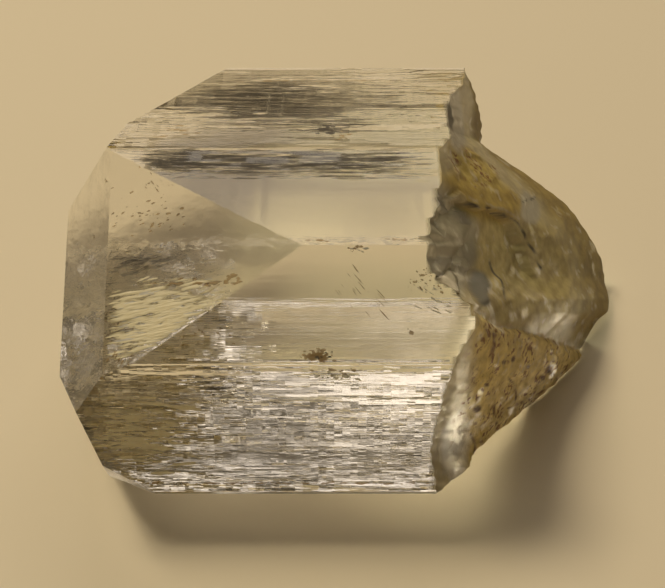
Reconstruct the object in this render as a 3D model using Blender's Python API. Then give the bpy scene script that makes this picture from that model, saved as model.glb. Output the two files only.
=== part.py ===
"""A topaz crystal: one clear single crystal with a natural faceted end and a broken base.

The stone lies on one of its prism faces. Its long axis (the crystal's c axis) runs along X, with the
faceted end at -X and the break at +X. Z is up, and the origin is below the middle of the stone, on the
surface that it rests on.

Sizes are in millimetres and turned into metres by MM. The faces are given in the crystal's own axes:
a leans from straight up towards the front (-Y), b runs towards the back, and c towards the faceted end.
"""

import math

import bmesh
import bpy
import numpy as np
from mathutils import Vector
from mathutils import noise

MM = 0.001

# How far the a axis leans from straight up, in degrees. It is the m faces' own angle, so one lies flat.
M_ANGLE = 27.8
L_ANGLE = 46.6
UNDER_ANGLE = 14.8
A_AXIS_LEAN = M_ANGLE

# Each prism face: its turn about the long axis, from a towards b, and its distance from that axis.
PRISM_FACES = {
    "upper m": (M_ANGLE, 12.10),
    "front m": (-M_ANGLE, 12.99),
    "front l": (-L_ANGLE, 13.04),
    "front edge": (-90.0, 15.39),
    "lower front l": (L_ANGLE - 180.0, 9.94),
    "resting m": (M_ANGLE - 180.0, 9.60),
    "under face": (UNDER_ANGLE - 180.0, 10.30),
    "lower back m": (180.0 - M_ANGLE, 13.00),
    "back edge": (90.0, 20.19),
    "upper back l": (L_ANGLE, 12.26),
}

# Each face of the natural end: its turn about the long axis, its tilt from c, and its distance from
# the middle of the stone.
END_FACES = {
    "upper dome": (0.0, 71.7, 14.09),
    "upper bevel": (0.0, 42.6, 18.01),
    "end plane": (0.0, 0.0, 19.10),
    "back roof": (90.0, 36.3, 18.88),
    "back corner": (63.2, 33.4, 19.61),
    "front roof": (-90.0, 66.2, 19.15),
    "front corner": (-88.0, 27.0, 20.65),
    "lower bevel": (180.0, 42.6, 20.40),
}

# The break runs from an edge on the upper faces down to one on the lower faces, further out. Both are
# outlines over v, which crosses the stone from its lower front (-) to its upper back (+).
BREAK_TURN = 45.0
BREAK_UPPER_EDGE = (
    (-14.3, 7.4), (-10.8, 6.8), (-6.8, 7.6), (-4.7, 8.2), (-2.0, 9.3), (-0.4, 9.2), (1.6, 7.1),
    (3.6, 6.3), (6.4, 7.6), (10.2, 7.5), (11.9, 8.9), (14.8, 9.6), (18.2, 10.7),
)
BREAK_LOWER_EDGE = (
    (-14.3, 7.4), (-12.6, 9.7), (-11.6, 10.2), (-10.1, 12.8), (-8.5, 15.4), (-7.1, 17.2),
    (-5.3, 19.5), (-3.8, 20.5), (-2.2, 21.7), (-1.5, 22.6), (-0.4, 22.9), (1.4, 22.7), (3.0, 22.2),
    (4.4, 21.5), (6.1, 20.3), (7.6, 19.0), (9.6, 16.2), (11.1, 14.0), (12.3, 12.2), (14.4, 12.0),
    (16.0, 11.6), (18.2, 10.7),
)

# The shell-shaped hollow in the break: middle and reach across the stone, then down the break as a
# share of its height, how much it slants, and its depth.
HOLLOW_V = 1.3
HOLLOW_REACH_V = 5.2
HOLLOW_DOWN = 0.47
HOLLOW_REACH_DOWN = 0.27
HOLLOW_SLANT = 0.045
HOLLOW_DEPTH = 1.3

# The rough surface of the break: height of its bumps, and their width.
ROUGH_HEIGHT = 0.35
ROUGH_WIDTH = 3.2

# The grid that the break's cutter is made of.
CUTTER_HALF = 21.0
CUTTER_CELLS = 34
CUTTER_DEPTH = 40.0

BLANK_SIZE = 70.0

TOPAZ_COLOUR = (0.92, 0.88, 0.76, 1.0)
TOPAZ_ROUGHNESS = 0.03
TOPAZ_IOR = 1.62


def clear_scene():
    for thing in list(bpy.data.objects):
        bpy.data.objects.remove(thing, do_unlink=True)


def new_collection(name):
    collection = bpy.data.collections.new(name)
    bpy.context.scene.collection.children.link(collection)
    return collection


def topaz_material():
    material = bpy.data.materials.new("clear_topaz")
    material.use_nodes = True
    shader = material.node_tree.nodes["Principled BSDF"]
    shader.inputs["Base Color"].default_value = TOPAZ_COLOUR
    shader.inputs["Roughness"].default_value = TOPAZ_ROUGHNESS
    shader.inputs["Metallic"].default_value = 0.0
    shader.inputs["IOR"].default_value = TOPAZ_IOR
    shader.inputs["Transmission Weight"].default_value = 1.0
    material.diffuse_color = TOPAZ_COLOUR
    return material


def from_crystal_axes(a, b, c):
    """The direction in the scene with these parts along the crystal's three axes."""
    lean = math.radians(A_AXIS_LEAN)
    y = b * math.cos(lean) - a * math.sin(lean)
    z = b * math.sin(lean) + a * math.cos(lean)
    return Vector((-c, y, z))


def face_normal(turn, tilt):
    turn = math.radians(turn)
    tilt = math.radians(tilt)
    across = math.sin(tilt)
    return from_crystal_axes(across * math.cos(turn), across * math.sin(turn), math.cos(tilt))


def crystal_planes():
    """(outward normal, distance in mm) of every natural face."""
    planes = [(face_normal(turn, 90.0), distance) for turn, distance in PRISM_FACES.values()]
    planes += [(face_normal(turn, tilt), distance) for turn, tilt, distance in END_FACES.values()]
    return planes


def cut_face(mesh, normal, distance):
    """Takes away what lies beyond a plane, and closes the cut with one flat face."""
    everything = mesh.verts[:] + mesh.edges[:] + mesh.faces[:]
    cut = bmesh.ops.bisect_plane(
        mesh,
        geom=everything,
        plane_co=normal * distance * MM,
        plane_no=normal,
        clear_outer=True,
    )
    rim = [part for part in cut["geom_cut"] if isinstance(part, bmesh.types.BMEdge)]
    bmesh.ops.contextual_create(mesh, geom=rim)


def natural_crystal(collection):
    """The whole crystal before it broke: a blank with one plane cut for each natural face."""
    mesh = bmesh.new()
    bmesh.ops.create_cube(mesh, size=BLANK_SIZE * MM)
    for normal, distance in crystal_planes():
        cut_face(mesh, normal, distance)
    bmesh.ops.recalc_face_normals(mesh, faces=mesh.faces[:])
    data = bpy.data.meshes.new("topaz_crystal")
    mesh.to_mesh(data)
    mesh.free()
    crystal = bpy.data.objects.new("topaz_crystal", data)
    collection.objects.link(crystal)
    return crystal


def break_span(v):
    """Where a line through the prism at v enters at the upper faces and leaves at the lower ones."""
    turn = math.radians(BREAK_TURN)
    top, bottom = CUTTER_HALF, -CUTTER_HALF
    for face_turn, distance in PRISM_FACES.values():
        normal = face_normal(face_turn, 90.0)
        along = normal.z * math.cos(turn) - normal.y * math.sin(turn)
        across = normal.y * math.cos(turn) + normal.z * math.sin(turn)
        reach = (distance - v * across) / along
        if along > 0:
            top = min(top, reach)
        else:
            bottom = max(bottom, reach)
    return top, bottom


def hollow_depth(v, down):
    """How deep the shell-shaped hollow is at v and that share of the way down the break."""
    middle = HOLLOW_DOWN - HOLLOW_SLANT * (v - HOLLOW_V)
    off_v = (v - HOLLOW_V) / HOLLOW_REACH_V
    off_down = (down - middle) / HOLLOW_REACH_DOWN
    return HOLLOW_DEPTH * max(0.0, 1.0 - off_v ** 2 - off_down ** 2)


def break_reach(v, w):
    """How far along X the stone goes, in mm, at v across it and w through it."""
    top, bottom = break_span(v)
    down = min(max((top - w) / max(top - bottom, 1.0), -0.2), 1.2)
    upper = np.interp(v, *zip(*BREAK_UPPER_EDGE))
    lower = np.interp(v, *zip(*BREAK_LOWER_EDGE))
    rough = ROUGH_HEIGHT * noise.noise(Vector((v, w, 0.0)) / ROUGH_WIDTH)
    return upper + (lower - upper) * down - hollow_depth(v, down) + rough


def break_cutter(collection):
    """A block beyond the break, whose near side is the broken surface."""
    size = 2 * CUTTER_HALF * MM
    mesh = bmesh.new()
    bmesh.ops.create_grid(mesh, x_segments=CUTTER_CELLS, y_segments=CUTTER_CELLS, size=size / 2)
    turn = math.radians(BREAK_TURN)
    grown = bmesh.ops.extrude_face_region(mesh, geom=mesh.faces[:])
    far = {part for part in grown["geom"] if isinstance(part, bmesh.types.BMVert)}
    for point in mesh.verts:
        v, w = point.co.x / MM, point.co.y / MM
        x = CUTTER_DEPTH if point in far else break_reach(v, w)
        y = v * math.cos(turn) - w * math.sin(turn)
        z = v * math.sin(turn) + w * math.cos(turn)
        point.co = Vector((x, y, z)) * MM
    bmesh.ops.recalc_face_normals(mesh, faces=mesh.faces[:])
    data = bpy.data.meshes.new("break_cutter")
    mesh.to_mesh(data)
    mesh.free()
    cutter = bpy.data.objects.new("break_cutter", data)
    cutter.display_type = "WIRE"
    cutter.hide_render = True
    collection.objects.link(cutter)
    return cutter


def break_off_base(crystal, cutter):
    boolean = crystal.modifiers.new("broken_base", "BOOLEAN")
    boolean.operation = "DIFFERENCE"
    boolean.solver = "EXACT"
    boolean.object = cutter


def stand_at_origin(crystal, cutter):
    """Moves the stone so that its box stands on the origin, with the middle of its sides over it."""
    bpy.context.view_layer.update()
    broken = crystal.evaluated_get(bpy.context.evaluated_depsgraph_get())
    corners = [Vector(corner) for corner in broken.bound_box]
    low = Vector([min(corner[i] for corner in corners) for i in range(3)])
    high = Vector([max(corner[i] for corner in corners) for i in range(3)])
    middle = (low + high) / 2
    shift = Vector((-middle.x, -middle.y, -low.z))
    crystal.location = shift
    cutter.location = shift


def main():
    clear_scene()
    parts = new_collection("topaz_crystal")
    cutters = new_collection("cutters")
    crystal = natural_crystal(parts)
    crystal.data.materials.append(topaz_material())
    cutter = break_cutter(cutters)
    break_off_base(crystal, cutter)
    stand_at_origin(crystal, cutter)


main()
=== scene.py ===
"""A topaz crystal on a pale floor: its grooved faces, its broken base and the flakes in its skin."""

import math
from collections import namedtuple

import bmesh
import bpy
import numpy as np
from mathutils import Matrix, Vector
from mathutils import noise


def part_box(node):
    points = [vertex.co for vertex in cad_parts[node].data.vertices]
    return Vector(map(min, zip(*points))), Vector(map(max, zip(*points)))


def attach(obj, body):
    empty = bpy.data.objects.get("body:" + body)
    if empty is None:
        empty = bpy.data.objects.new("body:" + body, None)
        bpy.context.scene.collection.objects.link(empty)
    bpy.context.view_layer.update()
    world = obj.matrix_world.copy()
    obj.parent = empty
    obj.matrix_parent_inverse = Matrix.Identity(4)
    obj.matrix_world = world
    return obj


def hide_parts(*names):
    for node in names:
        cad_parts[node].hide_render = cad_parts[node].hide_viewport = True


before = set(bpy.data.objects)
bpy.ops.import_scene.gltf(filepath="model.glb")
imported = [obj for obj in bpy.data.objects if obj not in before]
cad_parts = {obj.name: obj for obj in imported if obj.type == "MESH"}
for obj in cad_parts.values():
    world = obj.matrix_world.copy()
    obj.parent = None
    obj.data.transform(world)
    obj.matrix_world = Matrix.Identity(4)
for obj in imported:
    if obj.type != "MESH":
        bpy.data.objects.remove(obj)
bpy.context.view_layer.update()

# The topaz crystal.
# One clear crystal of topaz, grown as a single piece: ten grooved prism faces that run along X, a
# wedge-shaped end at -X, and a break at +X where it was snapped off its matrix.

MM = 0.001

# How far the crystal's a axis leans from straight up towards -Y, so that the stone lies on an m face.
A_AXIS_LEAN = math.radians(27.8)

# The middle of the stone, on its long axis. The faces' distances are counted from here.
END_TO_MIDDLE = 19.10
FRONT_TO_MIDDLE = 14.875
MIDDLE_HEIGHT = 9.60
stone_low, stone_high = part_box("topaz_crystal")
middle = Vector((
    stone_low.x + END_TO_MIDDLE * MM,
    stone_low.y + FRONT_TO_MIDDLE * MM,
    stone_low.z + MIDDLE_HEIGHT * MM,
))

# Each prism face, in order round the stone: its turn about the long axis, from a towards b, its
# distance from that axis in mm, and its growth steps: their spacing and length in mm, how much of the
# face they cover, and which way most of them lean (+ is towards the next face).
PrismFace = namedtuple("PrismFace", "name turn distance spacing streak cover lean")
PRISM_FACES = (
    PrismFace("upper m", 27.8, 12.10, 0.08, 9.0, 0.02, 0.0),
    PrismFace("front m", -27.8, 12.99, 0.12, 6.0, 0.0, 0.0),
    PrismFace("front l", -46.6, 13.04, 0.06, 4.5, 0.30, 0.0),
    PrismFace("front edge", -90.0, 15.39, 0.20, 5.0, 0.0, 0.0),
    PrismFace("lower front l", -133.4, 9.94, 0.16, 6.0, 0.30, 0.0),
    PrismFace("resting m", -152.2, 9.60, 0.12, 6.0, 0.25, 0.0),
    PrismFace("under face", -165.2, 10.30, 0.12, 6.0, 0.0, 0.0),
    PrismFace("lower back m", 152.2, 13.00, 0.25, 8.0, 0.0, 0.0),
    PrismFace("back edge", 90.0, 20.19, 0.20, 8.0, 0.0, 0.0),
    PrismFace("upper back l", 46.6, 12.26, 0.06, 10.0, 0.28, 0.0),
)

# Parts of a face where the steps lie closer or thinner: the middle along X in mm and across the face
# as a share of it, the reach each way, the cover and the lean.
STEP_PATCHES = {
    "upper back l": (
        (-9.5, 0.74, 6.8, 0.20, 0.92, 0.9),
        (-5.4, 0.28, 7.6, 0.26, 0.14, -0.3),
        (-2.6, 0.50, 4.6, 0.17, 0.10, -0.3),
        (5.6, 0.26, 3.9, 0.22, 0.45, 0.4),
        (5.7, 0.76, 3.8, 0.20, 0.92, 0.9),
    ),
    "upper m": (
        (-3.0, 0.14, 16.0, 0.16, 0.16, 0.2),
        (0.0, 0.03, 22.0, 0.014, 0.90, -1.2),
        (2.2, 0.27, 3.2, 0.03, 0.45, -0.8),
        (5.0, 0.17, 0.8, 0.02, 0.90, -1.2),
    ),
    "under face": (
        (-14.0, 0.50, 7.5, 0.60, 0.55, 0.0),
    ),
    "front m": (
        (0.0, 0.985, 22.0, 0.02, 0.60, 0.5),
    ),
    "front l": (
        (5.5, 0.35, 4.6, 0.40, 0.42, -0.3),
        (-9.6, 0.16, 4.6, 0.17, 0.55, 0.8),
        (1.0, 0.03, 12.0, 0.04, 0.70, 0.6),
    ),
}

# Each face of the natural end: its turn, its tilt from c, and its distance from the middle in mm.
END_FACES = (
    ("upper dome", 0.0, 71.7, 14.09),
    ("upper bevel", 0.0, 42.6, 18.01),
    ("end plane", 0.0, 0.0, 19.10),
    ("back roof", 90.0, 36.3, 18.88),
    ("back corner", 63.2, 33.4, 19.61),
    ("front roof", -90.0, 66.2, 19.15),
    ("front corner", -88.0, 27.0, 20.65),
    ("lower bevel", 180.0, 42.6, 20.40),
)

# The prism runs along X between these, in mm, in rings this far apart, before its ends are cut.
PRISM_START = -22.0
PRISM_STOP = 25.0
STATION_STEP = 0.55


def from_a_and_b(a, b):
    """Y and Z of what lies this far along the crystal's a and b axes."""
    y = b * math.cos(A_AXIS_LEAN) - a * math.sin(A_AXIS_LEAN)
    z = b * math.sin(A_AXIS_LEAN) + a * math.cos(A_AXIS_LEAN)
    return y, z


def face_normal(turn, tilt):
    """The outward direction of a face, from its turn about the long axis and its tilt from c."""
    turn = math.radians(turn)
    tilt = math.radians(tilt)
    across = math.sin(tilt)
    y, z = from_a_and_b(across * math.cos(turn), across * math.sin(turn))
    return Vector((-math.cos(tilt), y, z))


# The outward direction of every natural face, and its distance from the middle in mm.
PRISM_TILT = 90.0
FACE_PLANES = {face.name: (face_normal(face.turn, PRISM_TILT), face.distance) for face in PRISM_FACES}
for name, turn, tilt, distance in END_FACES:
    FACE_PLANES[name] = (face_normal(turn, tilt), distance)


def corner_between(first, second):
    """Where two prism faces meet, as (a, b) in mm."""
    turns = [math.radians(first.turn), math.radians(second.turn)]
    sides = np.array([[math.cos(turn), math.sin(turn)] for turn in turns])
    return np.linalg.solve(sides, np.array([first.distance, second.distance]))


def smooth_values(random, shape, cells):
    """Random values from 0 to 1 that change smoothly, with about this many cells each way."""
    lattice = random.random((int(cells[0]) + 3, int(cells[1]) + 3))
    for axis in (0, 1):
        place = np.linspace(0.0, cells[axis] + 1.0, shape[axis])
        cell = np.floor(place).astype(int)
        share = place - cell
        share = share * share * (3.0 - 2.0 * share)
        share = share[:, None] if axis == 0 else share[None, :]
        near = np.take(lattice, cell, axis=axis)
        far = np.take(lattice, cell + 1, axis=axis)
        lattice = near * (1.0 - share) + far * share
    return lattice


def smoothed(values, reach):
    """A running mean down the second axis."""
    window = np.ones(2 * reach + 1) / (2 * reach + 1)
    padded = np.pad(values, ((0, 0), (reach, reach)), mode="edge")
    return np.apply_along_axis(lambda row: np.convolve(row, window, mode="valid"), 1, padded)


def soft(low, high, values):
    """0 below low, 1 above high, and smooth between them."""
    share = np.clip((values - low) / (high - low), 0.0, 1.0)
    return share * share * (3.0 - 2.0 * share)


# How much a step's slope rises towards the last face and towards the next, and its height in mm.
STEP_SLOPES = {
    "upper back l": (0.34, 0.21, 0.09),
}
COMMON_SLOPES = (0.34, 0.21, 0.06)

# Each size of step, in mm, with its share of the pattern.
STEP_SIZES = ((0.16, 1.0), (0.45, 0.8), (1.6, 0.6))

# How strong the pattern is where a step starts, for each cover from none of the face to all of it.
COVER_SHARES = (0.0, 0.05, 0.25, 0.5, 0.75, 1.0)
COVER_LEVELS = (9.0, 1.9, 1.0, 0.4, 0.0, -0.6)

# How far the heights are evened out, how ragged a patch's ends are, both in mm, how wide its teeth are
# and how wide the faces' smooth edges are, both in rows, and the share of a face below its top level.
STEP_REACH = 0.6
FRAY_REACH = 5.0
FRAY_ROWS = 3.0
EDGE_ROWS = 3.0
BELOW_TOP = 0.98


def step_pattern(random, x, rows, face):
    """How much of a face the growth steps cover, and their lean, at each station and row."""
    cover = np.full((len(x), rows), face.cover)
    lean = np.full((len(x), rows), face.lean)
    share = (np.arange(rows) + 0.5)[None, :] / rows
    fray = FRAY_REACH * (smooth_values(random, (2, rows), (1, rows / FRAY_ROWS))[:1] - 0.5)
    patches = STEP_PATCHES.get(face.name, ())
    for patch_x, patch_share, reach_x, reach_share, patch_cover, patch_lean in patches:
        off_x = np.abs(x[:, None] + fray * min(1.0, reach_x / 4.0) - patch_x) / reach_x
        off = np.maximum(off_x, np.abs(share - patch_share) / reach_share)
        part = 1.0 - soft(0.8, 1.15, off)
        cover = cover + (patch_cover - cover) * part
        lean = lean + (patch_lean - lean) * part
    return cover, lean


def growth_steps(random, x, rows, spacing, face):
    """How far the growth steps stand below a face, in mm, at each station and row."""
    length = x[-1] - x[0]
    width = rows * spacing
    field = np.zeros((len(x), rows))
    for size, share in STEP_SIZES:
        cells = (length / (face.streak * (0.5 + 0.5 * size)), width / size)
        values = smooth_values(random, field.shape, cells)
        field += share * (values - values.mean()) / values.std()
    field /= field.std()
    cover, lean = step_pattern(random, x, rows, face)
    level = np.interp(cover, COVER_SHARES, COVER_LEVELS)
    to_last = field > level + lean
    to_next = (field < lean - level) & ~to_last
    last_slope, next_slope, drop = STEP_SLOPES.get(face.name, COMMON_SLOPES)
    climb = np.cumsum(last_slope * to_last - next_slope * to_next, axis=1) * spacing
    trend = smoothed(climb, max(3, int(STEP_REACH / spacing)))
    height = climb - drop * np.round(trend / drop)
    height = np.minimum(height - np.quantile(height, BELOW_TOP), 0.0)
    fade = np.minimum(np.arange(rows), np.arange(rows)[::-1]) / EDGE_ROWS
    return height * np.minimum(fade, 1.0)[None, :]


def growth_prism():
    """The striated prism, as a closed mesh that still has no natural end."""
    random = np.random.default_rng(7)
    stations = int((PRISM_STOP - PRISM_START) / STATION_STEP) + 1
    along = np.linspace(PRISM_START, PRISM_STOP, stations)
    rings = []
    count = len(PRISM_FACES)
    for index, face in enumerate(PRISM_FACES):
        start = corner_between(PRISM_FACES[index - 1], face)
        stop = corner_between(face, PRISM_FACES[(index + 1) % count])
        width = float(np.linalg.norm(stop - start))
        rows = max(4, int(width / face.spacing))
        down = growth_steps(random, along, rows, width / rows, face)
        turn = math.radians(face.turn)
        share = np.arange(rows)[None, :] / rows
        a = start[0] + (stop[0] - start[0]) * share + down * math.cos(turn)
        b = start[1] + (stop[1] - start[1]) * share + down * math.sin(turn)
        rings.append(np.stack([a, b], axis=-1))
    ring = np.concatenate(rings, axis=1)
    y, z = from_a_and_b(ring[..., 0], ring[..., 1])
    x = np.broadcast_to(along[:, None], y.shape)
    points = np.stack([x, y, z], axis=-1).reshape(-1, 3)
    size = ring.shape[1]
    faces = []
    for station in range(stations - 1):
        low = station * size
        for place in range(size):
            after = (place + 1) % size
            faces.append((low + place, low + after, low + size + after, low + size + place))
    faces.append(tuple(range(size))[::-1])
    faces.append(tuple(range((stations - 1) * size, stations * size)))
    data = bpy.data.meshes.new("topaz_crystal_faces")
    data.from_pydata((points * MM).tolist(), [], faces)
    return data


def cut_face(mesh, normal, distance):
    """Takes away what lies beyond a plane, and closes the cut with one flat face."""
    everything = mesh.verts[:] + mesh.edges[:] + mesh.faces[:]
    cut = bmesh.ops.bisect_plane(
        mesh,
        geom=everything,
        plane_co=normal * distance * MM,
        plane_no=normal,
        clear_outer=True,
    )
    rim = [part for part in cut["geom_cut"] if isinstance(part, bmesh.types.BMEdge)]
    bmesh.ops.contextual_create(mesh, geom=rim)


def grown_crystal():
    """The whole crystal as it grew, before it was broken off."""
    data = growth_prism()
    mesh = bmesh.new()
    mesh.from_mesh(data)
    for name, turn, tilt, distance in END_FACES:
        cut_face(mesh, face_normal(turn, tilt), distance)
    bmesh.ops.recalc_face_normals(mesh, faces=mesh.faces[:])
    mesh.to_mesh(data)
    mesh.free()
    crystal = bpy.data.objects.new("topaz_crystal_faces", data)
    bpy.context.scene.collection.objects.link(crystal)
    return crystal


# The break runs from an edge on the upper faces down to one on the lower faces, further out. Both are
# outlines over v, which crosses the stone from its lower front (-) to its upper back (+).
BREAK_UPPER_EDGE = np.array((
    (-14.3, 7.4), (-10.8, 6.8), (-6.8, 7.6), (-4.7, 8.2), (-2.0, 9.3), (-0.4, 9.2), (1.6, 7.1),
    (3.6, 6.3), (6.4, 7.6), (10.2, 7.5), (11.9, 8.9), (14.8, 9.6), (18.2, 10.7),
))
BREAK_LOWER_EDGE = np.array((
    (-14.3, 7.4), (-12.6, 9.7), (-11.6, 10.2), (-10.1, 12.8), (-8.5, 15.4), (-7.1, 17.2),
    (-5.3, 19.5), (-3.8, 20.5), (-2.2, 21.7), (-1.5, 22.6), (-0.4, 22.9), (1.4, 22.7), (3.0, 22.2),
    (4.4, 21.5), (6.1, 20.3), (7.6, 19.0), (9.6, 16.2), (11.1, 14.0), (12.3, 12.2), (14.4, 12.0),
    (16.0, 11.6), (18.2, 10.7),
))

# The cutter's grid, in mm: its cells, and its reach across the stone and through it. v and w lie at 45
# degrees to Y and Z, which is where HALF_ROOT comes in.
BREAK_GRID = 0.14
BREAK_V = (-17.0, 21.0)
BREAK_W = (-20.0, 17.0)
BREAK_END = (stone_high.x - stone_low.x) / MM - END_TO_MIDDLE
CUTTER_REACH = 30.0  # further out than any face
HALF_ROOT = math.sqrt(0.5)


def break_span(v):
    """Where lines through the prism at v enter at the upper faces and leave at the lower ones."""
    top = np.full_like(v, CUTTER_REACH)
    bottom = np.full_like(v, -CUTTER_REACH)
    for face in PRISM_FACES:
        normal, distance = FACE_PLANES[face.name]
        along = (normal.z - normal.y) * HALF_ROOT
        across = (normal.y + normal.z) * HALF_ROOT
        reach = (distance - v * across) / along
        if along > 0:
            top = np.minimum(top, reach)
        else:
            bottom = np.maximum(bottom, reach)
    return top, bottom


def fine_noise(x, v, size, seed):
    """Smooth noise from about -1 to 1 over a surface."""
    points = zip(x.ravel() / size, v.ravel() / size)
    values = [noise.noise(Vector((first, second, seed))) for first, second in points]
    return np.array(values).reshape(x.shape)


def distance_to_line(x, v, line):
    """How far each point is from a bent line, and on which side of it (+ is above the line)."""
    best = np.full(x.shape, 1e3)
    side = np.zeros(x.shape)
    for (x0, v0), (x1, v1) in zip(line[:-1], line[1:]):
        run = np.array((x1 - x0, v1 - v0))
        length = float(run @ run)
        share = np.clip(((x - x0) * run[0] + (v - v0) * run[1]) / length, 0.0, 1.0)
        away = np.hypot(x - x0 - share * run[0], v - v0 - share * run[1])
        cross = run[0] * (v - v0) - run[1] * (x - x0)
        nearer = away < best
        best = np.where(nearer, away, best)
        side = np.where(nearer, np.sign(cross), side)
    return best, side


# The shell-shaped hollows of the break: middle along X and across the stone in mm, reach each way, depth.
BREAK_HOLLOWS = (
    ((13.4, 1.2), (5.2, 5.0), 1.25),
    ((9.9, 13.6), (1.9, 3.0), 0.8),
    ((10.9, 0.5), (1.1, 1.4), 0.9),
    ((16.6, 6.3), (1.8, 1.8), 0.45),
    ((8.8, -9.8), (1.6, 3.4), 0.5),
)


def hollow(x, v, place, reach, depth):
    """How deep one hollow is at each point."""
    off = ((x - place[0]) / reach[0]) ** 2 + ((v - place[1]) / reach[1]) ** 2
    return depth * np.maximum(0.0, 1.0 - off)


# The ridge below which the shell lies deeper, and the upper edge of the crust.
DARK_RIDGE = ((9.6, 6.4), (12.6, 5.9), (14.1, 5.2), (15.2, 3.7), (16.0, 2.0))
CRUST_EDGE = ((9.6, -0.9), (11.8, -2.1), (13.3, -2.5), (15.9, -3.1), (17.8, -3.9), (20.5, -4.6))

# What covers the break, one on top of the other: the middle along X and across the stone in mm, the
# reach each way, the slant, how much of the glassy surface it hides, and its colour. The chip floor and
# the dark hollow are painted shade.
BREAK_COVERS_AND_SHADE = (
    ("olive shell", 14.0, 1.6, 5.4, 4.6, 0.0, 0.93, (0.50, 0.405, 0.155)),
    ("pale shell side", 11.6, 3.2, 1.5, 3.0, 0.35, 0.92, (0.66, 0.55, 0.22)),
    ("grey fracture", 8.0, 3.6, 2.4, 3.6, 0.0, 0.82, (0.20, 0.175, 0.09)),
    ("ochre skin", 11.0, 7.1, 3.6, 1.9, -0.15, 0.95, (0.52, 0.38, 0.085)),
    ("pitted crust", 10.6, 9.4, 2.3, 1.5, -0.45, 0.97, (0.58, 0.45, 0.12)),
    ("upper chip", 9.3, 13.4, 1.1, 2.9, 0.0, 0.62, (0.17, 0.14, 0.10)),
    # Painted shade: the near-black floor of the upper chip, in the hollow there.
    ("chip floor", 8.9, 13.4, 0.35, 1.2, 0.0, 0.88, (0.03, 0.026, 0.02)),
    ("grey facets", 15.4, 6.7, 1.0, 1.3, 0.0, 0.65, (0.21, 0.18, 0.14)),
    # Painted shade: the dark inside of the small hollow.
    ("dark hollow", 10.4, 0.5, 0.9, 1.3, 0.0, 0.88, (0.06, 0.057, 0.05)),
    ("lilac corner", 9.0, -10.8, 1.3, 2.6, 0.0, 0.28, (0.46, 0.42, 0.38)),
)
BARE_HIDES = 0.72
BARE_COLOUR = (0.44, 0.36, 0.14)
RIM_COLOUR = (0.34, 0.245, 0.06)
CRUST_COLOUR = (0.80, 0.63, 0.22)

# Thin marks on the break: the line, its half width in mm, how much it hides, and its colour.
BREAK_LINES = (
    (DARK_RIDGE, 0.15, 0.97, (0.07, 0.045, 0.02)),
    (((9.7, 6.8), (12.6, 6.3), (14.2, 5.6)), 0.10, 0.75, (0.55, 0.45, 0.25)),
    (CRUST_EDGE, 0.16, 0.95, (0.58, 0.46, 0.24)),
    (((7.2, 10.6), (8.3, 11.2), (9.3, 11.6)), 0.12, 0.90, (0.07, 0.05, 0.03)),
    (((14.6, 6.9), (15.3, 7.4), (16.0, 7.8)), 0.10, 0.85, (0.03, 0.025, 0.02)),
    (((11.6, -7.4), (12.0, -8.6), (12.3, -9.8)), 0.11, 0.97, (0.14, 0.06, 0.02)),
    (((10.1, -10.2), (10.4, -11.0), (10.6, -11.8)), 0.10, 0.97, (0.14, 0.06, 0.02)),
    (((11.1, -2.8), (11.2, -3.6), (11.0, -4.2)), 0.17, 0.95, (0.20, 0.09, 0.03)),
    (((13.3, -8.5), (14.1, -8.4), (14.8, -8.2)), 0.07, 0.90, (0.18, 0.09, 0.03)),
    (((12.4, -5.6), (13.4, -6.6), (13.9, -7.9)), 0.08, 0.85, (0.16, 0.07, 0.02)),
    (((16.6, -1.2), (17.6, -2.8), (18.4, -4.6)), 0.07, 0.70, (0.50, 0.40, 0.20)),
    (((11.4, 2.2), (12.2, 1.0), (12.4, -0.3)), 0.09, 0.70, (0.06, 0.045, 0.03)),
    (((6.6, -11.4), (7.1, -12.9), (8.3, -13.9)), 0.10, 0.80, (0.60, 0.50, 0.26)),
)

# Rust spots on the crust: the place along X and across the stone, and the reach, in mm.
BREAK_SPOTS = (
    (16.8, -5.8, 0.45), (16.1, -6.4, 0.30), (17.3, -6.3, 0.28), (13.0, -4.7, 0.26),
    (12.2, -4.9, 0.20), (14.6, -5.4, 0.24), (10.4, -8.2, 0.30), (11.0, -6.4, 0.22),
)
SPOT_COLOUR = (0.14, 0.06, 0.02)
# Painted light and shade for the chips of the fracture: a pale colour for lit chips, a dark one for shaded
# chips.
PAINTED_LIT_CHIP = (0.58, 0.53, 0.40)
PAINTED_SHADED_CHIP = (0.07, 0.06, 0.045)


# The flat chips where the crystal snapped: each one's place along X and across the stone in mm, how it
# falls each way, how deep it lies, and its painted light and shade, from -1 for dark to 1 for pale.
CHIP_COUNT = 34
FRACTURE_MIDDLE = (8.0, 3.6)
FRACTURE_REACH = (2.4, 3.6)
chip_random = np.random.default_rng(41)
CHIP_PLACES = chip_random.uniform((5.4, 0.0), (10.8, 7.6), (CHIP_COUNT, 2))
CHIP_FALLS = chip_random.normal(0.0, 0.38, (CHIP_COUNT, 2))
CHIP_DEPTHS = chip_random.uniform(0.05, 0.50, CHIP_COUNT)
CHIP_PAINTED_LIGHT = chip_random.uniform(-1.0, 1.0, CHIP_COUNT)


def fracture_chips(u, t):
    """How deep the chips of the fracture lie, and their painted light and shade."""
    off_u = u[..., None] - CHIP_PLACES[:, 0]
    off_t = t[..., None] - CHIP_PLACES[:, 1]
    nearest = np.argmin(np.hypot(off_u, off_t), axis=-1)
    fall = off_u * CHIP_FALLS[:, 0] + off_t * CHIP_FALLS[:, 1] + CHIP_DEPTHS
    depth = np.take_along_axis(fall, nearest[..., None], axis=-1)[..., 0]
    share_u = (u - FRACTURE_MIDDLE[0]) / FRACTURE_REACH[0]
    share_t = (t - FRACTURE_MIDDLE[1]) / FRACTURE_REACH[1]
    part = soft(1.3, 0.8, np.hypot(share_u, share_t))
    return np.clip(depth, 0.0, 0.8) * part, CHIP_PAINTED_LIGHT[nearest] * part


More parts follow.
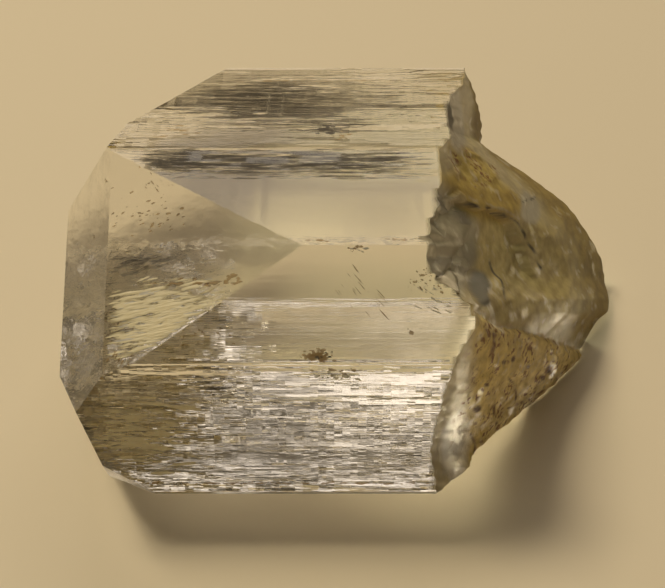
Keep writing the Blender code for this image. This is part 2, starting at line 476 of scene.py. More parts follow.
# How far the break's zones wander, how deep the shell drops at the ridge and how soon that fades, where
# along X the crust starts and how thick it is, all in mm.
WANDER = 0.35
RIDGE_DROP = 0.75
RIDGE_FADE = 1.4
CRUST_START = (8.3, 9.2)
CRUST_THICK = 0.35

# The curved ribs of the shell and of the part above it: where they centre, how tight and how high.
SHELL_MIDDLE = (10.0, 6.2)
SHELL_RIBS = (7.5, 0.035)
UPPER_MIDDLE = (8.5, 16.5)
UPPER_RIBS = (9.0, 0.03)

# The pitted patch of crust: its middle and its reach.
PITTED_MIDDLE = (10.6, 9.4)
PITTED_REACH = (2.4, 1.7)


def break_shape(v, w):
    """How far along X the broken surface is, where it is crusted, how far down, and the chips' painted
    light and shade.
    """
    top, bottom = break_span(v)
    down = np.clip((top - w) / np.maximum(top - bottom, 1.0), -0.2, 1.2)
    upper = np.interp(v, BREAK_UPPER_EDGE[:, 0], BREAK_UPPER_EDGE[:, 1])
    lower = np.interp(v, BREAK_LOWER_EDGE[:, 0], BREAK_LOWER_EDGE[:, 1])
    x = upper + (lower - upper) * down
    wander = fine_noise(x, v, 2.1, 3.0)
    u = x + WANDER * wander
    t = v + WANDER * fine_noise(x, v, 1.9, 8.0)

    depth = np.zeros(v.shape)
    for place, reach, deepest in BREAK_HOLLOWS:
        depth += hollow(u, t, place, reach, deepest)

    ridge, ridge_side = distance_to_line(u, t, DARK_RIDGE)
    depth += RIDGE_DROP * np.exp(-ridge / RIDGE_FADE) * (ridge_side < 0)
    crust_line, crust_side = distance_to_line(u, t, CRUST_EDGE)
    crust = np.where(crust_side < 0, 1.0, 0.0) * soft(*CRUST_START, u)
    depth -= CRUST_THICK * soft(0.0, 0.5, crust_line) * crust

    shell = np.hypot(u - SHELL_MIDDLE[0], t - SHELL_MIDDLE[1])
    tight, high = SHELL_RIBS
    ribs = np.sin(shell * tight + 1.5 * wander) * high * soft(2.0, 5.0, shell) * (1.0 - crust)
    upper_part = np.hypot(u - UPPER_MIDDLE[0], t - UPPER_MIDDLE[1])
    tight, high = UPPER_RIBS
    ribs += np.sin(upper_part * tight) * high * soft(10.5, 11.5, t)
    chip_depth, chip_painted_light = fracture_chips(u, t)
    depth += chip_depth

    share_u = (u - PITTED_MIDDLE[0]) / PITTED_REACH[0]
    share_t = (t - PITTED_MIDDLE[1]) / PITTED_REACH[1]
    pitted = soft(1.25, 0.75, np.hypot(share_u, share_t))
    grainy = np.maximum(crust, pitted)
    rough = 0.10 * fine_noise(u, t, 0.75, 11.0) + 0.06 * fine_noise(u, t, 0.38, 13.0)
    coarse = 0.16 * fine_noise(u, t, 2.6, 17.0)
    x = x - depth + ribs + coarse + rough * (0.25 + 1.1 * grainy)
    return np.minimum(x, BREAK_END), grainy, crust, down, chip_painted_light


def laid_over(base, part, colour):
    """The colours so far with this one laid over them, by the part given at each point."""
    return base + (np.array(colour) - base) * part[:, None]


def break_finish(x, v, crust, down, chip_painted_light):
    """What share of the glassy break is hidden at each point, and the colour of what hides it, with
    painted light and shade on its chips and hollows.
    """
    u = x + 0.30 * fine_noise(x, v, 1.3, 31.0)
    t = v + 0.30 * fine_noise(x, v, 1.1, 33.0)
    hides = np.full(x.shape, BARE_HIDES)
    colour = np.tile(np.array(BARE_COLOUR), (len(x), 1))
    for name, at_x, at_v, reach_x, reach_v, slant, cover, tint in BREAK_COVERS_AND_SHADE:
        off_v = (t - at_v - slant * (u - at_x)) / reach_v
        part = 1.0 - soft(0.75, 1.2, np.hypot((u - at_x) / reach_x, off_v))
        hides = hides + (cover - hides) * part
        colour = laid_over(colour, part, tint)
    # Painted light and shade on the chips: pale chips painted as lit, dark chips painted as shaded.
    colour = laid_over(colour, 0.8 * np.maximum(chip_painted_light, 0.0), PAINTED_LIT_CHIP)
    colour = laid_over(colour, 0.9 * np.maximum(-chip_painted_light, 0.0), PAINTED_SHADED_CHIP)
    rim = soft(0.66, 0.90, down + 0.06 * fine_noise(x, v, 1.7, 35.0)) * soft(-4.5, -3.0, v)
    hides = hides + (0.92 - hides) * rim
    colour = laid_over(colour, rim, RIM_COLOUR)
    crusted = crust * soft(8.6, 10.4, u)
    hides = hides + (0.96 - hides) * crusted
    colour = laid_over(colour, crusted, CRUST_COLOUR)
    breaks = fine_noise(x, v, 0.8, 37.0)
    for line, half, cover, tint in BREAK_LINES:
        away, side = distance_to_line(u, t, line)
        part = (1.0 - soft(half * 0.5, half * 1.5, away)) * soft(-0.45, 0.15, breaks)
        hides = np.maximum(hides, cover * part)
        colour = laid_over(colour, part, tint)
    for at_x, at_v, reach in BREAK_SPOTS:
        part = 1.0 - soft(0.6, 1.1, np.hypot(u - at_x, t - at_v) / reach)
        hides = np.maximum(hides, 0.95 * part)
        colour = laid_over(colour, part, SPOT_COLOUR)
    return hides, colour


def break_cutter():
    """A block beyond the break, whose near side is the broken surface."""
    v_values = np.arange(BREAK_V[0], BREAK_V[1], BREAK_GRID)
    w_values = np.arange(BREAK_W[0], BREAK_W[1], BREAK_GRID)
    v, w = np.meshgrid(v_values, w_values, indexing="ij")
    x = break_shape(v, w)[0]
    far = np.full_like(x, CUTTER_REACH)
    points = []
    for reach in (x, far):
        y = (v - w) * HALF_ROOT
        z = (v + w) * HALF_ROOT
        points.append(np.stack([reach, y, z], axis=-1).reshape(-1, 3))
    points = np.concatenate(points)
    rows, columns = v.shape
    layer = rows * columns
    index = np.arange(layer).reshape(rows, columns)
    near = np.stack(
        [index[:-1, :-1], index[:-1, 1:], index[1:, 1:], index[1:, :-1]], axis=-1
    ).reshape(-1, 4)
    faces = near.tolist() + (near[:, ::-1] + layer).tolist()
    rim = list(index[0, :]) + list(index[1:, -1]) + list(index[-1, -2::-1]) + list(index[-2:0:-1, 0])
    for first, second in zip(rim, rim[1:] + rim[:1]):
        faces.append((second, first, first + layer, second + layer))
    data = bpy.data.meshes.new("break_cutter")
    data.from_pydata((points * MM).tolist(), [], faces)
    mesh = bmesh.new()
    mesh.from_mesh(data)
    bmesh.ops.recalc_face_normals(mesh, faces=mesh.faces[:])
    mesh.to_mesh(data)
    mesh.free()
    cutter = bpy.data.objects.new("break_cutter", data)
    bpy.context.scene.collection.objects.link(cutter)
    return cutter


crystal = grown_crystal()
cutter = break_cutter()
clear_topaz = bpy.data.materials.new("clear_topaz")
broken_marker = bpy.data.materials.new("broken_marker")
crystal.data.materials.append(clear_topaz)
cutter.data.materials.append(broken_marker)
cut = crystal.modifiers.new("break", "BOOLEAN")
cut.operation = "DIFFERENCE"
cut.solver = "MANIFOLD"
cut.material_mode = "TRANSFER"
cut.object = cutter
bpy.context.view_layer.update()
whole = crystal.evaluated_get(bpy.context.evaluated_depsgraph_get())
broken = bpy.data.meshes.new_from_object(whole)
crystal.modifiers.remove(cut)
crystal.data = broken
bpy.data.objects.remove(cutter)


# How much lamp light goes through a face to the floor under the stone. The lower back face lets it
# through only where it is further back than LIT_BEHIND, in mm from the middle. A patch of the break
# counts as the natural face whose plane it lies nearest to.
LIT_THROUGH = {"upper m": 0.60, "upper back l": 0.80, "under face": 0.62, "lower back m": 1.0}
LIT_BEHIND = 11.3


def mark_break(data):
    """Smooth shading on the break, sharp edges round it, and the masks that its finish is made from."""
    count = len(data.vertices)
    points = np.empty(count * 3)
    data.vertices.foreach_get("co", points)
    points = points.reshape(-1, 3) / MM
    v = (points[:, 2] + points[:, 1]) * HALF_ROOT
    w = (points[:, 2] - points[:, 1]) * HALF_ROOT
    x, grainy, crust, down, chip_painted_light = break_shape(v, w)
    hides, colour = break_finish(points[:, 0], v, crust, down, chip_painted_light)
    slots = np.zeros(len(data.polygons), dtype=np.int32)
    data.polygons.foreach_get("material_index", slots)
    on_break = np.zeros(count)
    for face, slot in zip(data.polygons, slots):
        if slot > 0:
            on_break[list(face.vertices)] = 1.0
    data.polygons.foreach_set("use_smooth", slots > 0)
    data.polygons.foreach_set("material_index", np.zeros_like(slots))
    mesh = bmesh.new()
    mesh.from_mesh(data)
    for edge in mesh.edges:
        kinds = {face.smooth for face in edge.link_faces}
        edge.smooth = len(kinds) == 1
    mesh.to_mesh(data)
    mesh.free()
    data.materials.clear()
    data.materials.append(clear_topaz)
    for name, values in (("broken", on_break), ("grainy", grainy * on_break), ("hides", hides * on_break)):
        layer = data.attributes.new(name, "FLOAT", "POINT")
        layer.data.foreach_set("value", values.astype(np.float32))
    layer = data.attributes.new("cover_and_painted_light_colour", "FLOAT_COLOR", "POINT")
    colour = np.concatenate([colour, np.ones((count, 1))], axis=1)
    layer.data.foreach_set("color", colour.astype(np.float32).ravel())


def mark_lit_faces(data):
    """Marks how much lamp light each face lets through, and the faces nearest to the natural end's."""
    count = len(data.polygons)
    centres = np.empty(count * 3)
    data.polygons.foreach_get("center", centres)
    names = list(FACE_PLANES)
    centres = centres.reshape(-1, 3) / MM
    below = [np.abs(distance - centres @ np.array(normal)) for normal, distance in FACE_PLANES.values()]
    share = np.array([LIT_THROUGH.get(name, 0.0) for name in names])
    nearest = np.argmin(below, axis=0)
    under_back = (nearest == names.index("lower back m")) & (centres[:, 1] < LIT_BEHIND)
    passes = share[nearest] * ~under_back
    layer = data.attributes.new("lets_light", "FLOAT", "FACE")
    layer.data.foreach_set("value", passes.astype(np.float32))
    at_end = nearest >= len(PRISM_FACES)
    layer = data.attributes.new("natural_end", "FLOAT", "FACE")
    layer.data.foreach_set("value", at_end.astype(np.float32))


mark_lit_faces(broken)
mark_break(broken)
for vertex in broken.vertices:
    vertex.co += middle
broken.update()


def dress_clear_topaz(material):
    """Clear glass, faintly yellow inside, with a dull and stained break."""
    material.use_nodes = True
    tree = material.node_tree
    link = tree.links.new
    new = tree.nodes.new
    output = tree.nodes["Material Output"]
    place = new("ShaderNodeTexCoord")

    def attribute(name):
        """The mask or colour of this name."""
        node = new("ShaderNodeAttribute")
        node.attribute_name = name
        return node

    def noise_at(scale, detail):
        """Noise of this scale, fixed to the stone."""
        node = new("ShaderNodeTexNoise")
        node.inputs["Scale"].default_value = scale
        node.inputs["Detail"].default_value = detail
        link(place.outputs["Object"], node.inputs["Vector"])
        return node.outputs["Fac"]

    def calculate(operation, first, second):
        """One step of arithmetic on two values, each a number or a socket."""
        node = new("ShaderNodeMath")
        node.operation = operation
        for socket, value in zip(node.inputs, (first, second)):
            if isinstance(value, float):
                socket.default_value = value
            else:
                link(value, socket)
        return node.outputs[0]

    def between(value, low, high):
        """0 below low and 1 above high."""
        node = new("ShaderNodeMapRange")
        node.inputs["From Min"].default_value = low
        node.inputs["From Max"].default_value = high
        link(value, node.inputs["Value"])
        return node.outputs["Result"]

    def colours(share, first, second):
        """The second colour laid over the first by this share."""
        node = new("ShaderNodeMix")
        node.data_type = "RGBA"
        link(share, node.inputs["Factor"])
        for socket, value in ((node.inputs["A"], first), (node.inputs["B"], second)):
            if isinstance(value, tuple):
                socket.default_value = value
            else:
                link(value, socket)
        return node.outputs["Result"]

    broken_part = attribute("broken").outputs["Fac"]
    grainy_part = attribute("grainy").outputs["Fac"]
    hides = attribute("hides").outputs["Fac"]
    cover_and_painted_light_colour = attribute("cover_and_painted_light_colour").outputs["Color"]

    inside = new("ShaderNodeVolumeAbsorption")
    inside.inputs["Color"].default_value = (0.95, 0.87, 0.62, 1.0)
    inside.inputs["Density"].default_value = 9.0
    link(inside.outputs["Volume"], output.inputs["Volume"])

    # Growth lines too fine for the mesh, a rough grain on the break, and low hillocks on the end.
    stretch = new("ShaderNodeMapping")
    stretch.inputs["Scale"].default_value = (120.0, 5200.0, 5200.0)
    link(place.outputs["Object"], stretch.inputs["Vector"])
    fine = new("ShaderNodeTexNoise")
    fine.inputs["Scale"].default_value = 1.0
    fine.inputs["Detail"].default_value = 3.0
    link(stretch.outputs["Vector"], fine.inputs["Vector"])
    lines = calculate("MULTIPLY", fine.outputs["Fac"], calculate("SUBTRACT", 1.0, broken_part))
    grain = calculate("MULTIPLY", noise_at(2600.0, 4.0), calculate("ADD", 0.25, grainy_part))
    grain = calculate("MULTIPLY", calculate("MULTIPLY", grain, broken_part), 4.0)
    hillocks = calculate("MULTIPLY", noise_at(850.0, 2.5), attribute("natural_end").outputs["Fac"])
    height = calculate("ADD", lines, calculate("ADD", grain, calculate("MULTIPLY", hillocks, 5.0)))
    bump = new("ShaderNodeBump")
    bump.inputs["Strength"].default_value = 0.30
    bump.inputs["Distance"].default_value = 0.00004
    link(height, bump.inputs["Height"])

    glass = tree.nodes["Principled BSDF"]
    glass.inputs["Base Color"].default_value = (1.0, 1.0, 1.0, 1.0)
    glass.inputs["IOR"].default_value = 1.62
    glass.inputs["Transmission Weight"].default_value = 1.0
    link(calculate("MULTIPLY", broken_part, 0.32), glass.inputs["Roughness"])
    link(bump.outputs["Normal"], glass.inputs["Normal"])

    # Iron-stained crust and skin on the break, with painted light and shade on its chips and hollows, and
    # dark pits where the crust is grainy.
    patches = between(noise_at(900.0, 4.0), 0.35, 0.65)
    darken = new("ShaderNodeMix")
    darken.data_type = "RGBA"
    darken.blend_type = "MULTIPLY"
    darken.inputs["Factor"].default_value = 1.0
    darken.inputs["B"].default_value = (0.64, 0.59, 0.50, 1.0)
    link(cover_and_painted_light_colour, darken.inputs["A"])
    darker = darken.outputs["Result"]
    mottled = colours(patches, cover_and_painted_light_colour, darker)
    pale = calculate("MULTIPLY", between(noise_at(1500.0, 3.0), 0.56, 0.66), grainy_part)
    mottled = colours(calculate("MULTIPLY", pale, 0.55), mottled, (0.56, 0.45, 0.24, 1.0))
    pits = calculate("MULTIPLY", between(noise_at(2300.0, 2.0), 0.53, 0.60), grainy_part)
    pits = calculate("MULTIPLY", pits, between(noise_at(420.0, 2.0), 0.44, 0.54))
    crust_colour = colours(pits, mottled, (0.24, 0.11, 0.03, 1.0))
    crust = new("ShaderNodeBsdfPrincipled")
    crust.inputs["Roughness"].default_value = 0.75
    crust.inputs["Specular IOR Level"].default_value = 0.25
    link(crust_colour, crust.inputs["Base Color"])
    link(bump.outputs["Normal"], crust.inputs["Normal"])
    uneven = calculate("MULTIPLY", hides, between(noise_at(700.0, 3.0), 0.0, 0.42))
    stained = new("ShaderNodeMixShader")
    link(calculate("MAXIMUM", uneven, calculate("MULTIPLY", pits, 0.95)), stained.inputs[0])
    link(glass.outputs[0], stained.inputs[1])
    link(crust.outputs[0], stained.inputs[2])

    # Lamp light that goes through the stone to the floor under it.
    through = new("ShaderNodeBsdfTransparent")
    through.inputs["Color"].default_value = (0.94, 1.0, 0.98, 1.0)
    rays = new("ShaderNodeLightPath")
    passing = calculate("MULTIPLY", rays.outputs["Is Shadow Ray"], attribute("lets_light").outputs["Fac"])
    whole = new("ShaderNodeMixShader")
    link(passing, whole.inputs[0])
    link(stained.outputs[0], whole.inputs[1])
    link(through.outputs[0], whole.inputs[2])
    link(whole.outputs[0], output.inputs["Surface"])


dress_clear_topaz(clear_topaz)
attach(crystal, "root")
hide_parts("topaz_crystal")

# What is in the skin of the topaz.
# Thin flakes of brown iron stain and dark mineral caught in the skin of the crystal while it grew, silvery
# films that are painted highlights of healed cracks and grooves, gold films that are painted light, and
# dark streaks along the growth lines that are painted shade.

# How far the flakes lie below a face, in mm, where growth steps have lowered it.
SKIN_DEPTH = {"upper m": 0.02, "upper back l": 0.04, "front l": 0.04}
SKIN_SCATTER = 0.01

# The corners of a flake, the least reach of one as a share of the flake's size, and how much more it
# can have, so that the outline is ragged.
FLAKE_SIDES = 11
FLAKE_LEAST_REACH = 0.65
FLAKE_MORE_REACH = 0.6

# Thickness of a flake as a share of its size, the spread of a group as a share of its reach and the
# most of it, how much the flakes swing about their lean in radians, and the spread of their sizes.
FLAKE_THICK = 0.16
FLAKE_SPREAD = 0.55
FLAKE_MOST_OFF = 1.25
FLAKE_SWING = 0.25
FLAKE_SIZE_MIDDLE = -0.35
FLAKE_SIZE_SPREAD = 0.45
FLAKE_LEAST_SIZE = 0.3
FLAKE_MOST_SIZE = 1.8
FLAKE_SHRINK = 0.8

# How far a flake keeps from the next face and from the break, in mm. Faces whose directions agree
# better than SAME_FACE, a cosine, are one face.
FACE_MARGIN = 0.02
BREAK_MARGIN = 0.3
SAME_FACE = 0.9999

# Each group: kind, face, middle along X and across the stone in mm, reach each way, lean of its
# flakes in degrees, how many, their size in mm, and how much longer than wide they are.
# The "stain" and "dark" kinds are the stone's own flakes; "film" is painted highlights, "gold" painted
# light and "streak" painted shade.
SKIN_FLAKE_GROUPS = (
    # The "streak" flakes are painted shade: dark streaks laid where the upper faces, the front l face and
    # the dome show dark reflections.
    ("streak", "upper back l", -4.6, 15.0, 7.4, 2.0, 0, 1150, 0.13, 11.0),
    ("streak", "upper m", -3.0, 9.25, 13.0, 0.95, 0, 1050, 0.085, 16.0),
    ("streak", "upper m", -11.5, 9.25, 2.8, 0.9, 0, 220, 0.10, 7.0),
    ("streak", "front l", -8.5, -6.4, 3.6, 1.1, 0, 60, 0.10, 9.0),
    ("dark", "upper back l", -0.5, 12.1, 0.55, 0.40, 10, 26, 0.20, 1.6),
    ("stain", "upper back l", 0.7, 11.3, 0.50, 0.45, 20, 14, 0.16, 1.5),
    # The "film" flakes are painted highlights: glints and bright reflections of healed cracks and grooves,
    # and on the dome painted light.
    ("film", "upper back l", 1.4, 10.0, 0.45, 0.20, 5, 5, 0.20, 2.4),
    ("stain", "upper back l", -11.4, 11.9, 1.3, 0.6, 5, 14, 0.13, 3.0),
    ("dark", "upper back l", -8.2, 13.1, 1.2, 0.06, 0, 5, 0.10, 9.0),
    ("dark", "upper back l", -5.8, 11.9, 1.2, 0.06, 0, 5, 0.10, 9.0),
    ("stain", "upper back l", -1.0, 16.9, 8.0, 0.04, 0, 42, 0.07, 6.0),
    ("film", "upper m", 2.0, 8.4, 2.4, 0.10, 0, 12, 0.05, 12.0),
    ("film", "upper m", 4.7, 9.1, 0.5, 0.08, 0, 5, 0.07, 6.0),
    ("stain", "upper m", -1.1, 3.62, 0.9, 0.06, 0, 13, 0.08, 2.5),
    ("stain", "upper m", 4.8, 3.68, 1.0, 0.07, 0, 14, 0.08, 2.5),
    ("stain", "front m", 1.5, 3.2, 0.6, 0.14, -12, 11, 0.09, 2.0),
    ("film", "front m", 1.7, 3.0, 0.5, 0.12, -12, 5, 0.12, 2.5),
    ("stain", "front m", -1.0, -4.1, 0.9, 0.38, 0, 46, 0.14, 1.8),
    ("dark", "front m", -0.9, -4.2, 0.8, 0.30, 0, 12, 0.11, 1.6),
    ("stain", "front m", -2.9, -4.7, 2.6, 0.07, 0, 26, 0.07, 4.0),
    ("stain", "front m", 1.0, 0.5, 0.9, 1.0, -52, 12, 0.03, 14.0),
    ("stain", "front m", 2.9, -0.4, 1.0, 0.8, -48, 14, 0.03, 14.0),
    ("stain", "front m", 1.2, 2.9, 0.15, 0.10, 0, 4, 0.07, 1.5),
    ("stain", "front m", 5.3, -2.5, 0.22, 0.16, 0, 6, 0.09, 1.5),
    ("stain", "front m", 6.3, 0.9, 1.2, 0.7, -30, 40, 0.06, 2.2),
    ("film", "front m", 6.6, 0.3, 0.9, 0.5, -35, 12, 0.05, 6.0),
    ("film", "front m", 7.2, -0.9, 1.2, 0.4, -25, 12, 0.05, 7.0),
    ("stain", "front m", -7.9, -2.7, 1.7, 0.7, 0, 16, 0.08, 1.8),
    ("film", "front l", 0.2, -5.4, 1.5, 0.28, 0, 24, 0.10, 2.0),
    ("stain", "front l", 0.1, -5.3, 1.5, 0.26, 0, 16, 0.10, 1.8),
    ("film", "front l", 4.0, -7.1, 2.9, 0.13, 0, 15, 0.07, 9.0),
    ("film", "front l", 4.6, -9.4, 1.8, 0.10, 0, 8, 0.06, 9.0),
    ("film", "front l", -6.9, -9.7, 1.5, 0.08, 0, 7, 0.06, 9.0),
    ("film", "front l", -11.3, -8.6, 0.7, 0.06, 0, 3, 0.06, 8.0),
    ("film", "front l", -7.8, -11.7, 0.7, 0.06, 0, 3, 0.06, 8.0),
    ("stain", "front l", -3.0, -13.3, 10.0, 0.05, 0, 60, 0.07, 4.0),
    ("stain", "upper dome", -12.4, 5.7, 2.4, 1.5, 15, 60, 0.08, 2.6),
    # The "gold" flakes are painted light: the bright streaked lower half of the dome, helped by the "film"
    # flakes below.
    ("gold", "upper dome", -11.5, -1.7, 3.7, 2.2, 6, 760, 0.12, 8.0),
    ("film", "upper dome", -11.6, -2.2, 3.2, 1.9, 6, 240, 0.075, 10.0),
    # Painted shade: dark streaks over the dark wedge of the dome.
    ("streak", "upper dome", -13.0, 2.2, 2.6, 0.6, 8, 70, 0.10, 6.0),
    # Painted light: the gold left end of the front l face.
    ("gold", "front l", -13.8, -9.8, 3.2, 2.2, 0, 190, 0.12, 7.0),
    ("stain", "upper dome", -12.4, 7.6, 0.5, 0.7, -50, 9, 0.05, 5.0),
    ("stain", "upper dome", -9.5, 0.8, 2.9, 0.24, 4, 40, 0.10, 4.0),
    ("film", "upper dome", -9.8, 1.1, 2.6, 0.20, 4, 8, 0.08, 6.0),
    ("stain", "upper dome", -6.5, 1.1, 0.5, 0.30, 0, 16, 0.13, 1.6),
    ("stain", "upper dome", -14.3, -4.4, 0.75, 0.7, 40, 20, 0.10, 2.2),
    ("film", "upper dome", -14.2, -4.5, 0.6, 0.6, 40, 6, 0.12, 2.5),
    ("stain", "upper dome", -11.2, 7.9, 1.8, 0.8, 20, 16, 0.06, 2.0),
    ("stain", "upper bevel", -15.9, 7.9, 0.16, 0.16, 0, 5, 0.08, 1.5),
    ("stain", "upper bevel", -16.8, 4.0, 0.16, 0.16, 0, 5, 0.08, 1.5),
)


def place_on_face(normal, distance, x, v):
    """The point of the face at x along the stone and v across it, in mm from the middle."""
    up = (normal.z - normal.y) * HALF_ROOT
    across = (normal.y + normal.z) * HALF_ROOT
    w = (distance - normal.x * x - v * across) / up
    return Vector((x, (v - w) * HALF_ROOT, (v + w) * HALF_ROOT))


def inside_stone(point, own_normal):
    """Whether a point of the skin lies on the stone that is left, and not over one of its edges."""
    for normal, distance in FACE_PLANES.values():
        if normal.dot(own_normal) < SAME_FACE and normal.dot(point) > distance - FACE_MARGIN:
            return False
    v = (point.y + point.z) * HALF_ROOT
    return point.x < np.interp(v, BREAK_UPPER_EDGE[:, 0], BREAK_UPPER_EDGE[:, 1]) - BREAK_MARGIN


def add_flake(points, faces, random, centre, along, across, normal, size, longer):
    """One thin ragged flake, thickest in the middle."""
    first = len(points)
    thick = size * FLAKE_THICK
    for side in range(FLAKE_SIDES):
        angle = 2.0 * math.pi * side / FLAKE_SIDES
        reach = size * (FLAKE_LEAST_REACH + FLAKE_MORE_REACH * random.random())
        out = along * (math.cos(angle) * reach * longer) + across * (math.sin(angle) * reach)
        points.append(centre + out)
    points.append(centre + normal * thick)
    points.append(centre - normal * thick)
    for side in range(FLAKE_SIDES):
        after = (side + 1) % FLAKE_SIDES
        faces.append((first + side, first + after, first + FLAKE_SIDES))
        faces.append((first + after, first + side, first + FLAKE_SIDES + 1))


def skin_flakes(kind, random):
    """Every flake of one kind, as one mesh."""
    points = []
    faces = []
    for group in SKIN_FLAKE_GROUPS:
        if group[0] != kind:
            continue
        face, x, v, reach_x, reach_v, lean, count, size, longer = group[1:]
        normal, distance = FACE_PLANES[face]
        along = Vector((1.0, 0.0, 0.0))
        along = (along - normal * along.dot(normal)).normalized()
        across = normal.cross(along).normalized()
        turn = math.radians(lean)
        for flake in range(count):
            off = random.normal(size=2) * FLAKE_SPREAD
            off = np.clip(off, -FLAKE_MOST_OFF, FLAKE_MOST_OFF)
            spot = place_on_face(normal, distance, x + reach_x * off[0], v + reach_v * off[1])
            spot -= normal * (SKIN_DEPTH.get(face, 0.0) + SKIN_SCATTER * random.random())
            tilt = turn + FLAKE_SWING * random.normal() / max(1.0, longer * 0.5)
            flake_along = along * math.cos(tilt) + across * math.sin(tilt)
            flake_across = across * math.cos(tilt) - along * math.sin(tilt)
            drawn = random.lognormal(FLAKE_SIZE_MIDDLE, FLAKE_SIZE_SPREAD)
            own_size = size * float(np.clip(drawn, FLAKE_LEAST_SIZE, FLAKE_MOST_SIZE)) * FLAKE_SHRINK
            ends = [spot + flake_along * (own_size * longer * side) for side in (-1.0, 1.0)]
            if not all(inside_stone(end, normal) for end in ends):
                continue
            add_flake(points, faces, random, spot, flake_along, flake_across, normal, own_size, longer)
    data = bpy.data.meshes.new("skin_flake_" + kind)
    data.from_pydata([tuple(point * MM + middle) for point in points], [], faces)
    thing = bpy.data.objects.new("skin_flake_" + kind, data)
    bpy.context.scene.collection.objects.link(thing)
    return thing


def mottle_group():
    """The node group that lays one colour over another in soft patches."""
    group = bpy.data.node_groups.new("patches_of_two_colours", "ShaderNodeTree")
    group.interface.new_socket("Scale", in_out="INPUT", socket_type="NodeSocketFloat")
    group.interface.new_socket("First Colour", in_out="INPUT", socket_type="NodeSocketColor")
    group.interface.new_socket("Second Colour", in_out="INPUT", socket_type="NodeSocketColor")
    group.interface.new_socket("Colour", in_out="OUTPUT", socket_type="NodeSocketColor")
    given = group.nodes.new("NodeGroupInput")
    result = group.nodes.new("NodeGroupOutput")
    place = group.nodes.new("ShaderNodeTexCoord")
    patches = group.nodes.new("ShaderNodeTexNoise")
    blend = group.nodes.new("ShaderNodeMix")
    blend.data_type = "RGBA"
    link = group.links.new
    link(place.outputs["Object"], patches.inputs["Vector"])
    link(given.outputs["Scale"], patches.inputs["Scale"])
    link(patches.outputs["Fac"], blend.inputs["Factor"])
    link(given.outputs["First Colour"], blend.inputs["A"])
    link(given.outputs["Second Colour"], blend.inputs["B"])
    link(blend.outputs["Result"], result.inputs["Colour"])
    return group


patches_of_two_colours = mottle_group()


def dull_material(name, colour, other, roughness, cover, glow_share):
    """A dull flake in patches of two colours, for mineral flakes and for painted light and shade: how much
    it hides, and how much light comes through.
    """
    material = bpy.data.materials.new(name)
    material.use_nodes = True
    tree = material.node_tree
    shader = tree.nodes["Principled BSDF"]
    mottle = tree.nodes.new("ShaderNodeGroup")
    mottle.node_tree = patches_of_two_colours
    mottle.inputs["Scale"].default_value = 2400.0
    mottle.inputs["First Colour"].default_value = colour
    mottle.inputs["Second Colour"].default_value = other
    tree.links.new(mottle.outputs["Colour"], shader.inputs["Base Color"])
    shader.inputs["Roughness"].default_value = roughness
    shader.inputs["Alpha"].default_value = cover
    if glow_share == 0.0:
        return material
    glow = tree.nodes.new("ShaderNodeBsdfTranslucent")
    glow.inputs["Color"].default_value = other
    both = tree.nodes.new("ShaderNodeMixShader")
    both.inputs[0].default_value = glow_share
    tree.links.new(shader.outputs[0], both.inputs[1])
    tree.links.new(glow.outputs[0], both.inputs[2])
    tree.links.new(both.outputs[0], tree.nodes["Material Output"].inputs["Surface"])
    return material


# Each material: its two colours, roughness, how much it hides, and how much light comes through it.
iron_stain = dull_material(
    "iron_stain", (0.40, 0.25, 0.09, 1.0), (0.66, 0.50, 0.25, 1.0), 0.8, 0.50, 0.0
)
dark_mineral = dull_material(
    "dark_mineral", (0.06, 0.05, 0.04, 1.0), (0.14, 0.115, 0.08, 1.0), 0.6, 0.75, 0.0
)
# Painted highlights: white flakes that stand in for glints and bright reflections on healed cracks and
# grooves, and for painted light on the lower dome.
painted_highlight_film = dull_material(
    "painted_highlight_film", (0.90, 0.88, 0.80, 1.0), (0.97, 0.96, 0.92, 1.0), 0.35, 0.80, 0.5
)
# Painted light: pale gold flakes that stand in for the bright light in the lower dome and at the left end
# of the front l face.
painted_light_film = dull_material(
    "painted_light_film", (0.88, 0.77, 0.46, 1.0), (0.98, 0.92, 0.68, 1.0), 0.4, 0.78, 0.0
)
# Painted shade: dark streak flakes that stand in for dark reflections on the faces.
painted_shade_streak = dull_material(
    "painted_shade_streak", (0.08, 0.064, 0.038, 1.0), (0.15, 0.125, 0.08, 1.0), 0.35, 0.24, 0.0
)

skin_flake_random = np.random.default_rng(23)
stain_flakes = skin_flakes("stain", skin_flake_random)
stain_flakes.data.materials.append(iron_stain)
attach(stain_flakes, "root")

dark_flakes = skin_flakes("dark", skin_flake_random)
dark_flakes.data.materials.append(dark_mineral)
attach(dark_flakes, "root")

# The painted highlight flakes.
painted_highlight_flakes = skin_flakes("film", skin_flake_random)
painted_highlight_flakes.data.materials.append(painted_highlight_film)
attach(painted_highlight_flakes, "root")

# The painted light flakes.
painted_light_flakes = skin_flakes("gold", skin_flake_random)
painted_light_flakes.data.materials.append(painted_light_film)
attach(painted_light_flakes, "root")

# The painted shade streaks.
painted_shade_flakes = skin_flakes("streak", skin_flake_random)
painted_shade_flakes.data.materials.append(painted_shade_streak)
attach(painted_shade_flakes, "root")

# The floor, the light and the camera.
# A plain pale paper floor just under the stone, a broad soft lamp beyond it to the left, a wider and
# weaker one straight behind it, and a dim room.

# Half the floor's side, and the gap under the stone, in metres.
FLOOR_HALF = 1.5
FLOOR_GAP = 0.00005
floor_mesh = bpy.data.meshes.new("floor")
floor_mesh.from_pydata(
    [(x * FLOOR_HALF, y * FLOOR_HALF, 0.0) for x, y in ((-1, -1), (1, -1), (1, 1), (-1, 1))],
    [],
    [(0, 1, 2, 3)],
)
floor = bpy.data.objects.new("floor", floor_mesh)
bpy.context.scene.collection.objects.link(floor)
floor.location.z = stone_low.z - FLOOR_GAP
paper = bpy.data.materials.new("pale_paper")
paper.use_nodes = True
sheet = paper.node_tree.nodes["Principled BSDF"]
sheet.inputs["Base Color"].default_value = (0.80, 0.71, 0.53, 1.0)
sheet.inputs["Roughness"].default_value = 0.75
floor_mesh.materials.append(paper)

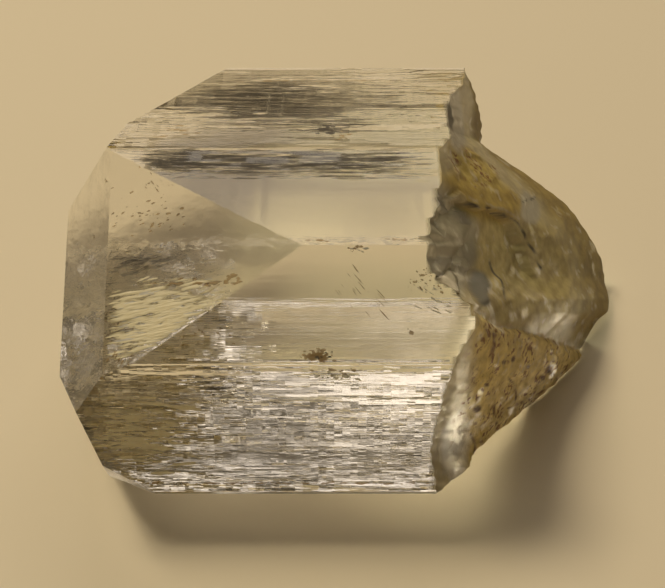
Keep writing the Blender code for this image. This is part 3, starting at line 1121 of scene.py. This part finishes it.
# The room's colour at floor level and overhead, and the height at which it is fully the second.
ROOM_BELOW = (0.06, 0.046, 0.030, 1.0)
ROOM_ABOVE = (0.09, 0.074, 0.054, 1.0)
ROOM_ABOVE_FROM = 0.8
room = bpy.data.worlds.new("room")
room.use_nodes = True
air = room.node_tree.nodes["Background"]
air.inputs["Strength"].default_value = 1.0
room_place = room.node_tree.nodes.new("ShaderNodeTexCoord")
room_up = room.node_tree.nodes.new("ShaderNodeSeparateXYZ")
room_fade = room.node_tree.nodes.new("ShaderNodeValToRGB")
room.node_tree.links.new(room_place.outputs["Generated"], room_up.inputs["Vector"])
room.node_tree.links.new(room_up.outputs["Z"], room_fade.inputs["Fac"])
room.node_tree.links.new(room_fade.outputs["Color"], air.inputs["Color"])
stops = room_fade.color_ramp.elements
stops[0].position = 0.0
stops[0].color = ROOM_BELOW
stops[1].position = ROOM_ABOVE_FROM
stops[1].color = ROOM_ABOVE
bpy.context.scene.world = room


def soft_lamp(name, place, size, power, colour):
    """A square lamp that points at the middle of the stone."""
    data = bpy.data.lights.new(name, "AREA")
    data.size = size
    data.energy = power
    data.color = colour
    lamp = bpy.data.objects.new(name, data)
    lamp.location = place
    lamp.rotation_euler = (middle - Vector(place)).to_track_quat("-Z", "Y").to_euler()
    bpy.context.scene.collection.objects.link(lamp)


soft_lamp("window", (-0.33, 0.20, 0.67), 0.24, 3.5, (1.0, 0.86, 0.63))
soft_lamp("sheet", (0.05, 0.50, 0.48), 0.42, 0.80, (1.0, 0.88, 0.77))

# The camera's distance from the middle of the stone in metres, and its angle above the floor.
CAMERA_AWAY = 0.11736
CAMERA_RISE = math.radians(45.18)
view = bpy.data.cameras.new("camera")
view.sensor_width = 36.0
view.lens = 84.7
view.clip_start = 0.001
camera = bpy.data.objects.new("camera", view)
bpy.context.scene.collection.objects.link(camera)
camera.location = middle + Vector((0.0, -math.cos(CAMERA_RISE), math.sin(CAMERA_RISE))) * CAMERA_AWAY
camera.rotation_euler = (math.pi / 2 - CAMERA_RISE, 0.0, 0.0)
bpy.context.scene.camera = camera
bpy.context.scene.view_settings.view_transform = "Standard"
